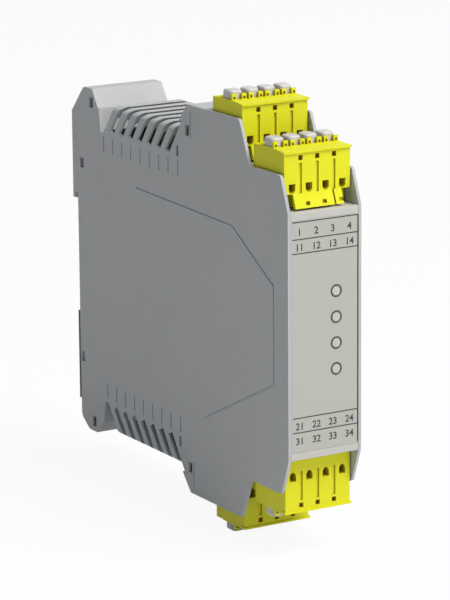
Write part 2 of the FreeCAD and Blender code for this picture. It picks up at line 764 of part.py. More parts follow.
def plug(side):
    """Four-pole plug with spring chambers, wire funnels and a comb for the pads."""
    base, turned = tier_base(side)
    body = new_body(f"plug_{side}", base, turned)
    half = s.plug_width / 2
    front = s.plug_front
    floor = s.plug_floor
    rear = front + s.plug_depth
    profile = [
        (front, floor + s.coding_height), (front, floor + s.plug_lip),
        (front + s.comb_front, floor + s.comb_top),
        (front + s.comb_front + s.comb_depth, floor + s.comb_top),
        (front + s.comb_front + s.comb_depth, floor + s.plug_ledge),
        (rear, floor + s.plug_ledge), (rear, floor + s.socket_high),
        (rear + s.socket_reach, floor + s.socket_high),
        (rear + s.socket_reach, floor + s.socket_low), (rear, floor + s.socket_low),
        (rear, floor), (front + s.coding_recess, floor),
        (front + s.coding_recess, floor + s.coding_height),
    ]
    if side.endswith("lower"):
        profile = [(front, floor)] + profile[1:-2]
    pad(body, "block", "YZ_Plane", -half, s.plug_width, [profile])
    if side.endswith("upper"):
        low = floor + s.plug_clearance
        flap = [
            (front - s.flap_reach, low), (front - s.flap_reach + s.flap_sheet, low),
            (front + s.flap_sheet, floor + s.coding_height + s.flap_sheet),
            (front, floor + s.coding_height),
        ]
        pad(body, "coding_flap", "YZ_Plane", s.flap_left, s.flap_right - s.flap_left, [flap])
        tongue_left = s.flap_right + s.flap_gap
        pad(body, "coding_tongue", "YZ_Plane", tongue_left, s.tongue_right - tongue_left, [flap])
    lip = s.plug_width / 2 + s.slide_clearance * 3
    pad(body, "lip", "XZ_Plane", front - s.groove_depth, s.lip_depth + s.groove_depth,
        [rectangle(-lip, lip, floor + s.plug_lip - s.flap_sheet / 2, floor + s.plug_lip)])
    first = POLES[0] * s.pole_pitch
    run = s.pole_pitch * (s.pole_count - 1)
    groove_x = first + s.pole_pitch / 2
    groove = pocket(body, "column_groove", "XZ_Plane", front, s.groove_depth,
                    [rectangle(groove_x - s.rib_groove / 2, groove_x + s.rib_groove / 2,
                               floor + s.coding_height,
                               floor + s.notch_height - s.notch_size)])
    notch = pocket(body, "notch", "XZ_Plane", front, s.notch_depth,
                   [rectangle(groove_x - s.notch_size / 2, groove_x + s.notch_size / 2,
                              floor + s.notch_height - s.notch_size / 2,
                              floor + s.notch_height + s.notch_size / 2)])
    repeat(body, "columns", [groove, notch], "X", run - s.pole_pitch, s.pole_count - 1)
    chamber = pocket(body, "spring_chamber", "YZ_Plane", first - s.chamber_width / 2,
                     s.chamber_width,
                     [rectangle(front + s.chamber_front, front + s.chamber_rear,
                                floor + s.chamber_low, floor + s.chamber_high)])
    keyhole = pocket(body, "keyhole", "XZ_Plane", front, s.chamber_front,
                     [rectangle(first - s.keyhole_width / 2, first + s.keyhole_width / 2,
                                floor + s.keyhole_low, floor + s.keyhole_high)])
    keyround = pocket(body, "keyhole_end", "XZ_Plane", front, s.chamber_front,
                      circles=[(first, floor + s.keyhole_low, s.keyhole_round)])
    funnel = pocket(body, "wire_funnel", "XY_Plane", floor + s.chamber_high,
                    s.plug_ledge - s.chamber_high,
                    [rectangle(first - s.funnel_width / 2, first + s.funnel_width / 2,
                               front + s.funnel_front,
                               front + s.funnel_front + s.funnel_depth)])
    half_pad = s.pad_width / 2 + s.slide_clearance
    pad_front = front + s.comb_front + (s.comb_depth - s.pad_depth) / 2
    well = pocket(body, "pad_well", "XY_Plane", floor + s.chamber_high,
                  s.comb_top - s.chamber_high,
                  [rectangle(first - half_pad, first + half_pad,
                             pad_front - s.slide_clearance,
                             pad_front + s.pad_depth + s.slide_clearance)])
    bore = pocket(body, "pin_bore", "XZ_Plane", front + s.chamber_rear,
                  s.plug_depth + s.socket_reach - s.chamber_rear,
                  [rectangle(first - s.pin_bore / 2, first + s.pin_bore / 2,
                             PIN_MIDDLE - s.pin_bore / 2, PIN_MIDDLE + s.pin_bore / 2)])
    repeat(body, "poles", [chamber, keyhole, keyround, funnel, well, bore], "X", run,
           s.pole_count)
    return body


def release_pad(side, number):
    """Push pad that opens one pole's spring."""
    base, turned = tier_base(side)
    pole = POLES[number - 1] * s.pole_pitch
    body = new_body(f"pad_{side}_{number}", (-pole if turned else pole, base[1], base[2]), turned)
    front = s.plug_front + s.comb_front + (s.comb_depth - s.pad_depth) / 2
    half = s.pad_width / 2
    pad(body, "pad", "XY_Plane", PAD_BOTTOM, PAD_TOP - PAD_BOTTOM,
        [rectangle(-half, half, front, front + s.pad_depth)])
    top = PAD_TOP.value

    def upright(first, last):
        return abs(first.x - last.x) < 0.01 and abs(first.y - last.y) < 0.01

    def top_side(first, last):
        return abs(first.z - top) < 0.01 and abs(last.z - top) < 0.01
    round_edges(body, "corner_rounds", s.pad_round, upright)
    round_edges(body, "dome", s.pad_dome, top_side)
    return body


def clamp_springs(side):
    """One node: a bent strip spring in each pole's chamber."""
    base, turned = tier_base(side)
    front = s.plug_front + s.chamber_front
    rear = s.plug_front + s.chamber_rear
    low = s.plug_floor + s.chamber_low
    high = s.plug_floor + s.chamber_high
    gap = s.slide_clearance
    sheet = s.spring_sheet
    loop = [
        (front + gap, low + gap), (rear - gap, low + gap), (rear - gap, high - gap),
        (rear - gap - sheet, high - gap), (rear - gap - sheet, low + gap + sheet),
        (front + gap + sheet, low + gap + sheet),
        (front + gap + sheet, high - gap - sheet),
        (s.plug_front + s.funnel_front - gap, high - gap - sheet),
        (s.plug_front + s.funnel_front - gap, high - gap), (front + gap, high - gap),
    ]
    springs = []
    for index, pole in enumerate(POLES, start=1):
        body = doc.addObject("PartDesign::Body", f"spring_{side}_{index}")
        pad(body, "strip", "YZ_Plane", pole * s.pole_pitch - s.spring_width / 2,
            s.spring_width, [loop])
        springs.append(body)
    group = doc.addObject("Part::Compound", f"clamp_springs_{side}")
    group.Links = springs
    place(group, base, turned)
    return keep(group, f"clamp_springs_{side}")


def header(side):
    """Black pin housing behind one plug."""
    base, turned = tier_base(side)
    body = new_body(f"header_{side}", base, turned)
    half = INNER - s.header_side
    front = s.plug_front + s.plug_depth + s.header_gap
    rear = front + s.header_depth
    low = BAY_FLOOR
    high = BAY_FLOOR + s.tier_rise - s.bay_wall - s.header_side
    wall = s.header_wall
    profile = [
        (front, low), (rear, low), (rear, high), (front, high), (front, high - wall),
        (rear - s.header_back, high - wall), (rear - s.header_back, low + wall),
        (front, low + wall),
    ]
    pad(body, "shroud", "YZ_Plane", -half, half * 2, [profile])
    first = POLES[0] * s.pole_pitch
    hole = pocket(body, "pin_hole", "XZ_Plane", rear - s.header_back, s.header_back,
                  [rectangle(first - s.pin_size / 2, first + s.pin_size / 2,
                             PIN_MIDDLE - s.pin_width / 2, PIN_MIDDLE + s.pin_width / 2)])
    repeat(body, "pin_holes", [hole], "X", s.pole_pitch * (s.pole_count - 1), s.pole_count)
    return body


def header_pins(side):
    """One node: four angled pins from a header to the main board."""
    base, turned = tier_base(side)
    half = s.pin_size / 2
    board_face = -BOARD_RIGHT if turned else BOARD_RIGHT
    pins = []
    for index, pole in enumerate(POLES):
        body = doc.addObject("PartDesign::Body", f"pin_{side}_{index + 1}")
        x = pole * s.pole_pitch
        order = len(POLES) - 1 - index if turned else index
        elbow = BAY_BACK + s.bay_wall + s.pin_lead + s.tail_step * order + s.pin_size
        start = BAY_BACK - s.header_back - s.pin_reach
        near = x + half
        far = x - half
        if turned:
            near, far = far, near
        loop = [
            (far, start), (near, start), (near, elbow), (board_face, elbow),
            (board_face, elbow - s.pin_size), (far, elbow - s.pin_size),
        ]
        pad(body, "pin", "XY_Plane", PIN_MIDDLE - s.pin_width / 2, s.pin_width, [loop])
        pins.append(body)
    group = doc.addObject("Part::Compound", f"header_pins_{side}")
    group.Links = pins
    place(group, base, turned)
    return keep(group, f"header_pins_{side}")


def main_board():
    """Circuit board beside the left-hand cover, cut round the plug bays."""
    body = new_body("main_board")
    tongue = BAY_FLOOR - s.bay_wall - s.board_edge
    shoulder = tongue + s.tier_rise
    front = s.cap_plate + s.indicator_gap + s.indicator_sheet
    step = BAY_BACK + s.bay_wall + s.board_edge
    rear_step = step + s.tier_back
    tab_high = PIN_MIDDLE + s.tier_rise + s.pin_width / 2
    waist = SLOT_INNER - s.board_drop
    chain = [
        (front, tongue), (step, tongue), (step, shoulder), (rear_step, shoulder),
        (rear_step, tab_high), (rear_step + s.board_tab, tab_high),
        (s.waist_start - s.shell_wall, s.waist_half - s.shell_wall - s.pin_width),
        (s.waist_start, waist), (s.front_depth - s.board_seat, waist),
    ]
    pad(body, "board", "YZ_Plane", BOARD_LEFT, s.board_sheet, [chain + mirrored(chain)])
    return body


def indicator_board():
    body = new_body("indicator_board")
    half = INNER - s.board_edge * 4
    pad(body, "board", "XZ_Plane", s.cap_plate + s.indicator_gap, s.indicator_sheet,
        [rectangle(-half, half, -s.indicator_half, s.indicator_half)])
    return body


def indicator_lamps():
    """One node: four lamps on the indicator board."""
    lamps = []
    for row in range(4):
        body = doc.addObject("PartDesign::Body", f"lamp_{row + 1}")
        z = s.lamp_top - s.lamp_pitch * row
        half = s.led_size / 2
        pad(body, "lamp", "XZ_Plane", s.cap_plate + s.indicator_gap - s.led_height, s.led_height,
            [rectangle(s.lamp_x - half, s.lamp_x + half, z - half, z + half)])
        lamps.append(body)
    group = doc.addObject("Part::Compound", "indicator_lamps")
    group.Links = lamps
    place(group)
    return keep(group, "indicator_lamps")


def relay(number):
    """Sealed relay on the main board."""
    body = new_body(f"relay_{number}")
    front = s.relay_front + RELAY_PITCH * (number - 1)
    half = s.relay_length / 2
    pad(body, "case", "YZ_Plane", BOARD_RIGHT, s.relay_height,
        [rectangle(front, front + RELAY_PITCH - s.relay_gap, -half, half)])
    top = BOARD_RIGHT.value + s.relay_height.value

    def top_edge(first, last):
        return abs(first.x - top) < 0.01 and abs(last.x - top) < 0.01
    round_edges(body, "case_rounds", s.relay_round, top_edge)
    return body


def board_group(label, maker, count):
    """Like pieces on the main board, as one node."""
    pieces = []
    for index in range(count):
        body = doc.addObject("PartDesign::Body", f"{label}_{index + 1}")
        maker(body, index)
        pieces.append(body)
    group = doc.addObject("Part::Compound", label)
    group.Links = pieces
    place(group)
    return keep(group, label)


def capacitor(body, index):
    z = s.capacitor_pitch * (index - 1)
    pad(body, "can", "YZ_Plane", BOARD_RIGHT, s.capacitor_height,
        circles=[(s.capacitor_y, z, s.capacitor_radius)])


def chip(body, index):
    z = s.chip_pitch * (index - 1)
    pad(body, "case", "YZ_Plane", BOARD_RIGHT, s.chip_sheet,
        [rectangle(s.chip_y - s.chip_width / 2, s.chip_y + s.chip_width / 2,
                   z - s.chip_length / 2, z + s.chip_length / 2)])


def foot_latch():
    """Sliding latch that holds the rail's lower edge."""
    body = new_body("foot_latch")
    half = HALF - s.latch_side
    front = s.front_depth + s.latch_clearance
    lip = HOOK_REAR - s.latch_lip
    profile = [
        (front, -s.latch_end), (HOOK_REAR, -s.latch_end), (HOOK_REAR, -s.latch_tip),
        (lip, -s.latch_tip), (lip, -s.latch_root), (front, -s.latch_root),
    ]
    pad(body, "plate", "YZ_Plane", -half, half * 2, [profile])
    stem = s.stem_width / 2
    head_rear = s.front_depth - s.shell_wall - s.latch_clearance
    pad(body, "stem", "YZ_Plane", -stem, s.stem_width,
        [rectangle(head_rear - s.stem_head, front, -s.stem_bottom, -s.stem_top)])
    head = s.stem_head_width / 2
    pad(body, "head", "YZ_Plane", -head, s.stem_head_width,
        [rectangle(head_rear - s.stem_head, head_rear, -s.stem_bottom, -s.stem_top)])
    shelf = s.coil_radius + s.coil_wire * 2
    pad(body, "spring_shelf", "YZ_Plane", -shelf, shelf * 2,
        [rectangle(head_rear - s.stem_head - shelf * 2, head_rear,
                   -s.stem_bottom, s.stem_head - s.stem_bottom)])
    pocket(body, "pry_slot", "XZ_Plane", front, HOOK_REAR - front,
           [rectangle(-s.pry_width / 2, s.pry_width / 2,
                      s.pry_slot - s.latch_end, s.pry_slot * 2 - s.latch_end)])
    return body


def latch_spring():
    """Coil spring that pushes the latch up, standing on the lower lobe's floor."""
    helix = doc.addObject("Part::Helix", "spring_line")
    floor = -s.coil_seat
    length = -s.stem_bottom - floor - s.coil_wire * 2
    bind(helix, "Pitch", length / s.coil_turns)
    bind(helix, "Height", length)
    bind(helix, "Radius", s.coil_radius)
    wire = doc.addObject("Part::Circle", "spring_section")
    bind(wire, "Radius", s.coil_wire)
    wire.Placement.Rotation = FreeCAD.Rotation(FreeCAD.Vector(1, 0, 0), 90)
    bind(wire, "Placement.Base.x", s.coil_radius)
    doc.recompute()
    sweep = doc.addObject("Part::Sweep", "latch_spring")
    sweep.Sections = [wire]
    sweep.Spine = (helix, [f"Edge{n}" for n in range(1, len(helix.Shape.Edges) + 1)])
    sweep.Solid = True
    sweep.Frenet = True
    place(sweep, (ZERO, COIL_MIDDLE, floor + s.coil_wire))
    return keep(sweep, "latch_spring")


def build():
    side_cover()
    housing_shell()
    front_cap()
    label_plate()
    for number in range(1, 5):
        light_pipe(number)
    for side in SIDE_NAMES:
        plug(side)
        for number in range(1, len(POLES) + 1):
            release_pad(side, number)
        clamp_springs(side)
        header(side)
        header_pins(side)
    main_board()
    indicator_board()
    indicator_lamps()
    for number in range(1, int(s.relay_count.value) + 1):
        relay(number)
    board_group("capacitors", capacitor, 3)
    board_group("controller_chips", chip, 3)
    foot_latch()
    latch_spring()


def check(document):
    """Stop on any failed feature or bad solid."""
    document.recompute()
    for thing in document.Objects:
        if "Invalid" in thing.State or "Error" in thing.State:
            raise RuntimeError(f"{thing.Label} failed: {thing.State}")
    for part in parts:
        if part.Shape.isNull() or not part.Shape.isValid():
            raise RuntimeError(f"{part.Label} has no valid shape")


def write_parts():
    os.makedirs("parts", exist_ok=True)
    for part in parts:
        part.Shape.exportStep(os.path.join("parts", part.Label + ".step"))


build()
check(doc)
write_parts()
print(len(parts), "parts written")
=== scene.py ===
"""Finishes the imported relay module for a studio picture.

Every piece is made by an operator of its own. Lengths are in metres, in the rail seat's
frame: X across the module, +Y to the rear, Z up.
"""

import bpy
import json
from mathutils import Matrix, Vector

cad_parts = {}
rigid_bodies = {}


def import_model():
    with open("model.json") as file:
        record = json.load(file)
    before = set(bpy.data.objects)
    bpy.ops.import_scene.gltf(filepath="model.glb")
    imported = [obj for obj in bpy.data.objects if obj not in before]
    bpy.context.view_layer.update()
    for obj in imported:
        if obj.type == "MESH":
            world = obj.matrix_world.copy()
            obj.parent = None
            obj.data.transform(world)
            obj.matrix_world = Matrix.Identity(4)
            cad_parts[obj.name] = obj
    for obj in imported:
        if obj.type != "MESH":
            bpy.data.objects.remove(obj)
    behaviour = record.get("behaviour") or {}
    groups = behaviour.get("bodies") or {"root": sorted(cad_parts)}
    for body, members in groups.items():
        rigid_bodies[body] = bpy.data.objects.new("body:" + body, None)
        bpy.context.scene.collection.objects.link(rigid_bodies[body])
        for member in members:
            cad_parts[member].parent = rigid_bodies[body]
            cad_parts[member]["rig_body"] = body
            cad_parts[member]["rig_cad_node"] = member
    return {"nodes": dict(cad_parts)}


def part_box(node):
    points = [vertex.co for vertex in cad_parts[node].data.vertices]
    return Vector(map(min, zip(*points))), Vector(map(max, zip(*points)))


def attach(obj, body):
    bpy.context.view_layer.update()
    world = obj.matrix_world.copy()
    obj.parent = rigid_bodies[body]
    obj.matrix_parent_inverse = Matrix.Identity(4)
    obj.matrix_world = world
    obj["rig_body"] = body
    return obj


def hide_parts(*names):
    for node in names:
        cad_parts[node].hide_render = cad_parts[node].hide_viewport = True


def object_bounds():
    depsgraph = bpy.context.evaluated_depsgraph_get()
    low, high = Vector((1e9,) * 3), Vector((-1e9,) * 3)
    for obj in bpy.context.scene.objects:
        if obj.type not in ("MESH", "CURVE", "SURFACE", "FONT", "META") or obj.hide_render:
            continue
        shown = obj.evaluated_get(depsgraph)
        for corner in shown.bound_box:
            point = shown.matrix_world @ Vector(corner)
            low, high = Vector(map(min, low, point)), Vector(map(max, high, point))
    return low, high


bl_info = {
    "name": "Relay module finish",
    "version": (1, 0, 0),
    "blender": (4, 5, 0),
    "location": "3D View > Sidebar > Relay Module",
    "description": "Rounds, prints and colours a packed relay module, and lights it",
    "category": "Object",
}

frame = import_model()

import json
import math

import bmesh
import bpy
from mathutils import Matrix, Vector

CAD_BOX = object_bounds()
MM = 0.001
X, Y, Z = range(3)
SIDES = ("front_upper", "rear_upper", "front_lower", "rear_lower")
FACE_LOW, FACE_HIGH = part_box("label_plate")
FACE_Y = FACE_LOW.y
MID_Z = (FACE_LOW.z + FACE_HIGH.z) / 2
FLAT = math.radians(0.6)          # faces this near to one plane are joined
WALL = 0.9 * MM                   # side walls
RIB_RUN = 18 * MM                 # shortest of the edges that run right across the shell
EAR_SPREAD = 1.5 * MM             # from a pad's middle to its ears
EAR_GAP = 0.2 * MM                # between an ear and its pad
NEAR = 1e-5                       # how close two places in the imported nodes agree
MERGE = MM / 500                  # corners nearer than this become one
SHARP = math.radians(30)          # least angle of an edge that gets a round
SMOOTH = math.radians(35)         # up to this angle an edge is shaded softly
DOME_STEPS, RING_STEPS = 4, 48    # bevel segments of a pad, corners of a printed ring
CATCH = (1.3 * MM, 1.2 * MM, 1.0 * MM)              # recess in the flap of an upper plug
CATCH_OFFSET = (-0.9 * MM, 0.7 * MM, 1.4 * MM)      # from pad's middle, plug's front and foot
FIRST_CATCH = 2                   # the first pole has none
PRINT_LEFT, PRINT_RIGHT = -9.8, 10.05               # label's lines, in millimetres
PRINT_TOP, PRINT_BOTTOM = 30.3, -30.2
PRINT_LEVELS = (PRINT_TOP, 25.8, 22.1, -21.4, -25.3)
NUMBER_COLUMNS = (-7.7, -2.6, 2.4, 7.5)
NUMBER_ROWS = ((27.6, ("1", "2", "3", "4")), (23.6, ("11", "12", "13", "14")),
               (-23.7, ("21", "22", "23", "24")), (-27.7, ("31", "32", "33", "34")))
CAPITAL_SHARE = 0.7               # of a letter's nominal size that a numeral fills
BOLDER = 0.025                    # how much a numeral's outline grows, of its height
PRINT_MERGE = MM / 1000           # the same in a numeral's outline
CLOUDS, PATCHES = 45, 300         # noise scales of a moulding's colour and roughness
ERODED, SATIN, DRAWN = 2600, 5000, 6000             # of mould texture, label and metal lines
HOLLOW_SHADE_RANGE = (0.0, 0.6)         # occlusion over which the painted shade in a plug's hollows fades out
FLOOR_DROP = 0.4 * MM             # floor below the lowest pads
FLOOR_GLOW = 0.93                 # how much of the floor the camera sees as plain white
CAMERA_PLACE = (-0.4400, -0.79561, 0.20344)
CAMERA_ANGLES = (-30.948, 13.502, -0.467)           # azimuth, elevation and roll, in degrees
CAMERA_LENS, CAMERA_SENSOR = 195.15, 36             # in millimetres
SKY_COLOUR, WHITE = (0.92, 0.96, 1, 1), (1, 1, 1, 1)
AIM = (0, -0.06, 0)               # where the lamps point
# Name, place, width in metres, watts and colour
LAMPS = (("key", (0.40, -0.85, 1.35), 0.9, 30.0, (1.0, 0.97, 0.93)),
         ("front", (0.15, -1.7, 0.1), 1.2, 7.0, (1.0, 0.99, 0.97)),
         ("left fill", (-1.6, -0.5, 0.1), 1.2, 1.0, (0.84, 0.92, 1.0)))


# Helpers

def spot(x, z):
    """A point on the front face, in metres from millimetres off the label's middle."""
    return Vector((x * MM, FACE_Y, MID_Z + z * MM))


def deselect():
    """Leave edit mode and select nothing."""
    if bpy.context.object and bpy.context.object.mode != "OBJECT":
        bpy.ops.object.mode_set(mode="OBJECT")
    bpy.ops.object.select_all(action="DESELECT")


def activate(*pieces):
    """Select just these pieces, with the first one active."""
    deselect()
    for piece in pieces:
        piece.select_set(True)
    bpy.context.view_layer.objects.active = pieces[0]


def settle(piece):
    """Put the piece's place into its mesh, so that its object sits at the origin."""
    activate(piece)
    bpy.ops.object.transform_apply(location=True, rotation=True, scale=True)


def finish_piece(piece, body, slot, material, *nodes):
    """Colour the piece, join it to its body and hide the nodes it stands in for."""
    piece.data.materials.clear()
    piece.data.materials.append(material)
    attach(piece, body)
    if nodes:
        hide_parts(*nodes)


def node_copy(node, name, joined=True):
    """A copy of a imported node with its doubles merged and, if asked, its flat faces joined."""
    source = frame["nodes"][node]
    piece = source.copy()
    piece.data = source.data.copy()
    piece.name = name
    piece.parent = None
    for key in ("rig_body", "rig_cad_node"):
        del piece[key]
    bpy.context.scene.collection.objects.link(piece)
    activate(piece)
    bpy.ops.mesh.customdata_custom_splitnormals_clear()
    bpy.ops.object.mode_set(mode="EDIT")
    bpy.ops.mesh.select_mode(type="EDGE")
    bpy.ops.mesh.select_all(action="SELECT")
    bpy.ops.mesh.remove_doubles(threshold=MERGE)
    if joined:
        bpy.ops.mesh.dissolve_limited(angle_limit=FLAT)
    bpy.ops.mesh.select_all(action="DESELECT")
    bpy.ops.object.mode_set(mode="OBJECT")
    return piece


def bevel_edges(piece, width, test, segments=2):
    """Round the sharp outer edges that pass the test."""
    activate(piece)
    bpy.ops.object.mode_set(mode="EDIT")
    bpy.ops.mesh.select_mode(type="EDGE")
    bpy.ops.mesh.select_all(action="DESELECT")
    mesh = bmesh.from_edit_mesh(piece.data)
    found = False
    for edge in mesh.edges:
        if len(edge.link_faces) == 2 and edge.is_convex \
                and edge.calc_face_angle() > SHARP and test(edge):
            edge.select_set(True)
            found = True
    bmesh.update_edit_mesh(piece.data)
    if found:
        bpy.ops.mesh.bevel(offset=width, segments=segments, profile=0.5, affect="EDGES",
                           clamp_overlap=True)
    bpy.ops.object.mode_set(mode="OBJECT")


def clean_faces(piece):
    """Split the faces into triangles and drop those without area."""
    activate(piece)
    bpy.ops.object.mode_set(mode="EDIT")
    bpy.ops.mesh.select_all(action="SELECT")
    bpy.ops.mesh.quads_convert_to_tris(quad_method="BEAUTY", ngon_method="BEAUTY")
    bpy.ops.mesh.dissolve_degenerate(threshold=MERGE)
    bpy.ops.mesh.select_all(action="DESELECT")
    bpy.ops.object.mode_set(mode="OBJECT")


def both_at(edge, axis, value):
    """Whether both ends of the edge lie at the value on the axis."""
    return all(abs(vertex.co[axis] - value) < NEAR for vertex in edge.verts)


def depth(edge, axis):
    """How far the faces beside the edge reach along the axis."""
    spread = [vertex.co[axis] for face in edge.link_faces for vertex in face.verts]
    return max(spread) - min(spread)


def run(edge, axis):
    """How far the edge reaches along the axis."""
    return abs(edge.verts[0].co[axis] - edge.verts[1].co[axis])


def smooth(piece):
    """Shade rounds softly and keep the large flats flat."""
    activate(piece)
    bpy.ops.object.shade_smooth_by_angle(angle=SMOOTH)
    bpy.ops.object.modifier_add(type="WEIGHTED_NORMAL")
    weighted = piece.modifiers[-1]
    weighted.keep_sharp = True
    weighted.weight = 100
    bpy.ops.object.modifier_apply(modifier=weighted.name)


# Finishes

def new_material(name):
    """A material with its node tree, its shader and the Object coordinates."""
    material = bpy.data.materials.new(name)
    material.use_nodes = True
    tree = material.node_tree
    shader = tree.nodes["Principled BSDF"]
    place = tree.nodes.new("ShaderNodeTexCoord")
    return material, tree, shader, place.outputs["Object"]


def noise(tree, coords, scale, detail=3.0):
    """Soft noise between 0 and 1, with this many waves in a metre."""
    node = tree.nodes.new("ShaderNodeTexNoise")
    node.inputs["Scale"].default_value = scale
    node.inputs["Detail"].default_value = detail
    tree.links.new(coords, node.inputs["Vector"])
    return node.outputs["Fac"]


def tinted(tree, factor, colour, spread):
    """A ramp that moves the colour a little darker and lighter."""
    ramp = tree.nodes.new("ShaderNodeValToRGB")
    ramp.color_ramp.elements[0].position = 0.3
    ramp.color_ramp.elements[1].position = 0.7
    ramp.color_ramp.elements[0].color = [c * (1 - spread) for c in colour[:3]] + [1]
    ramp.color_ramp.elements[1].color = [min(1, c * (1 + spread)) for c in colour[:3]] + [1]
    tree.links.new(factor, ramp.inputs["Fac"])
    return ramp.outputs["Color"]


def ranged(tree, factor, low, high, bounds=(0.3, 0.7)):
    """The factor, taken from its bounds to the range from low to high."""
    node = tree.nodes.new("ShaderNodeMapRange")
    node.inputs["From Min"].default_value = bounds[0]
    node.inputs["From Max"].default_value = bounds[1]
    node.inputs["To Min"].default_value = low
    node.inputs["To Max"].default_value = high
    tree.links.new(factor, node.inputs["Value"])
    return node.outputs["Result"]


def grain(tree, coords, shader, scale, relief):
    """Fine bumps of the given relief, in metres."""
    bump = tree.nodes.new("ShaderNodeBump")
    bump.inputs["Distance"].default_value = relief
    bump.inputs["Strength"].default_value = 1.0
    tree.links.new(noise(tree, coords, scale, 2.0), bump.inputs["Height"])
    tree.links.new(bump.outputs["Normal"], shader.inputs["Normal"])


def moulded_plastic(name, colour, rough, texture, relief, spread=0.02):
    """Injection-moulded plastic with a fine eroded texture and faint mottling."""
    material, tree, shader, coords = new_material(name)
    cloud = noise(tree, coords, CLOUDS)
    tree.links.new(tinted(tree, cloud, colour, spread), shader.inputs["Base Color"])
    tree.links.new(ranged(tree, noise(tree, coords, PATCHES), rough - 0.05, rough + 0.05),
                   shader.inputs["Roughness"])
    shader.inputs["Specular IOR Level"].default_value = 0.3
    grain(tree, coords, shader, texture, relief)
    return material


def paint_hollow_shade(material, reach, shade):
    """Paint shade into the colour inside holes and grooves no wider than the reach."""
    tree = material.node_tree
    shader = tree.nodes["Principled BSDF"]
    colour = shader.inputs["Base Color"].links[0].from_socket
    # Painted shade: an occlusion mask darkens the colour in holes and grooves towards the shade
    # colour.
    hollow_shade = tree.nodes.new("ShaderNodeAmbientOcclusion")
    hollow_shade.samples = 8
    hollow_shade.inputs["Distance"].default_value = reach
    mix = tree.nodes.new("ShaderNodeMix")
    mix.data_type = "RGBA"
    mix.inputs["A"].default_value = shade
    tree.links.new(ranged(tree, hollow_shade.outputs["AO"], 0.0, 1.0, HOLLOW_SHADE_RANGE),
                   mix.inputs["Factor"])
    tree.links.new(colour, mix.inputs["B"])
    tree.links.new(mix.outputs["Result"], shader.inputs["Base Color"])


def clear_resin(name, colour, rough, through):
    """Clear plastic that lets part of the light through."""
    material, tree, shader, coords = new_material(name)
    cloud = noise(tree, coords, 400)
    tree.links.new(tinted(tree, cloud, colour, 0.02), shader.inputs["Base Color"])
    shader.inputs["Roughness"].default_value = rough
    shader.inputs["Transmission Weight"].default_value = through
    shader.inputs["IOR"].default_value = 1.49
    grain(tree, coords, shader, 2500, 2e-6)
    return material


def metal(name, colour, rough):
    """Drawn or stamped metal with fine lines along its length."""
    material, tree, shader, coords = new_material(name)
    stretch = tree.nodes.new("ShaderNodeMapping")
    stretch.inputs["Scale"].default_value = (1, 0.08, 1)
    tree.links.new(coords, stretch.inputs["Vector"])
    lines = noise(tree, stretch.outputs["Vector"], DRAWN)
    tree.links.new(tinted(tree, lines, colour, 0.08), shader.inputs["Base Color"])
    tree.links.new(ranged(tree, lines, rough - 0.06, rough + 0.08), shader.inputs["Roughness"])
    shader.inputs["Metallic"].default_value = 1.0
    grain(tree, stretch.outputs["Vector"], shader, DRAWN, 3e-6)
    return material


def circuit_board(name, colour, copper):
    """Solder resist with tracks just below it."""
    material, tree, shader, coords = new_material(name)
    tracks = tree.nodes.new("ShaderNodeTexBrick")
    tracks.inputs["Scale"].default_value = 260
    tracks.inputs["Mortar Size"].default_value = 0.03
    tracks.inputs["Color1"].default_value = colour
    tracks.inputs["Color2"].default_value = [c * 0.8 for c in colour[:3]] + [1]
    tracks.inputs["Mortar"].default_value = copper
    turned = tree.nodes.new("ShaderNodeMapping")
    turned.inputs["Rotation"].default_value = (0, math.radians(90), 0)
    tree.links.new(coords, turned.inputs["Vector"])
    tree.links.new(turned.outputs["Vector"], tracks.inputs["Vector"])
    tree.links.new(tracks.outputs["Color"], shader.inputs["Base Color"])
    shader.inputs["Roughness"].default_value = 0.3
    grain(tree, coords, shader, 900, 1e-5)
    return material


def backdrop_material(name, colour, strength):
    """A pale matt surface that the camera sees as plain white, under a soft shadow."""
    material, tree, shader, coords = new_material(name)
    tree.links.new(tinted(tree, noise(tree, coords, 8), colour, 0.004),
                   shader.inputs["Base Color"])
    shader.inputs["Roughness"].default_value = 0.9
    shader.inputs["Specular IOR Level"].default_value = 0.1
    glow = tree.nodes.new("ShaderNodeEmission")
    glow.inputs["Color"].default_value = WHITE
    glow.inputs["Strength"].default_value = strength
    path = tree.nodes.new("ShaderNodeLightPath")
    total = tree.nodes.new("ShaderNodeMath")
    total.operation = "ADD"
    total.use_clamp = True
    tree.links.new(path.outputs["Is Camera Ray"], total.inputs[0])
    tree.links.new(path.outputs["Is Glossy Ray"], total.inputs[1])
    share = tree.nodes.new("ShaderNodeMath")
    share.operation = "MULTIPLY"
    share.inputs[1].default_value = FLOOR_GLOW
    tree.links.new(total.outputs["Value"], share.inputs[0])
    mix = tree.nodes.new("ShaderNodeMixShader")
    tree.links.new(share.outputs["Value"], mix.inputs["Fac"])
    tree.links.new(shader.outputs["BSDF"], mix.inputs[1])
    tree.links.new(glow.outputs["Emission"], mix.inputs[2])
    tree.links.new(mix.outputs["Shader"], tree.nodes["Material Output"].inputs["Surface"])
    return material


# Sizes and colours that a user would change

def colour_property(name, description, default):
    return bpy.props.FloatVectorProperty(
        name=name, description=description, default=(*default, 1.0), subtype="COLOR",
        size=4, min=0.0, max=1.0)


def length_property(name, description, default):
    return bpy.props.FloatProperty(
        name=name, description=description, default=default, unit="LENGTH", min=0.0)


